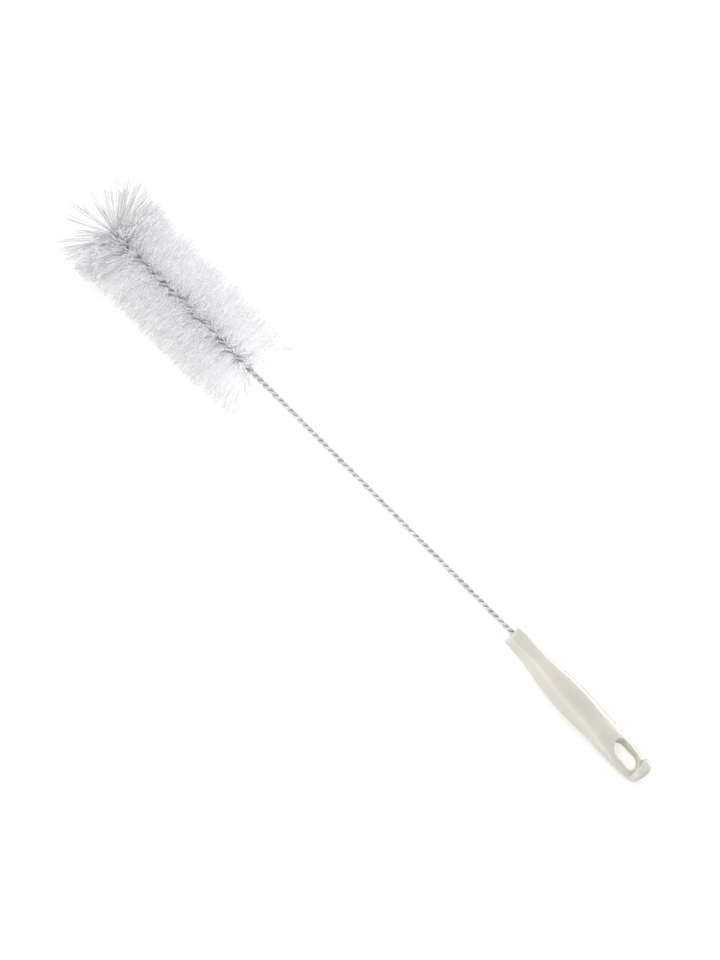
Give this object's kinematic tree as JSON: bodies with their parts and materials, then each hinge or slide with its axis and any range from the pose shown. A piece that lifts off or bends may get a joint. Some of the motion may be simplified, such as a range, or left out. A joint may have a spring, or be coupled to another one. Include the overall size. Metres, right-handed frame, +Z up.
{
  "type": "bottle brush",
  "caption": "Bottle brush: twisted steel wire stem with a cylindrical head of nylon filaments, a fanned tip tuft and a moulded plastic handle with a hanging slot.",
  "frame": {"origin": "on the floor, under the middle of the whole brush as it lies at rest", "axes": "+X along the brush towards the handle's end, +Z up; the brush lies on the head's filaments and the handle's end"},
  "size_m": [0.4454, 0.06, 0.0619],
  "materials": {
    "galvanised_wire": "galvanised, satin",
    "nylon_filament": "translucent white nylon",
    "cream_plastic": "smooth moulded, soft gloss"
  },
  "bodies": {
    "root": {"stem_wire": "galvanised_wire", "head_filaments": "nylon_filament", "tip_tuft": "nylon_filament", "handle": "cream_plastic"}
  },
  "joints": []
}
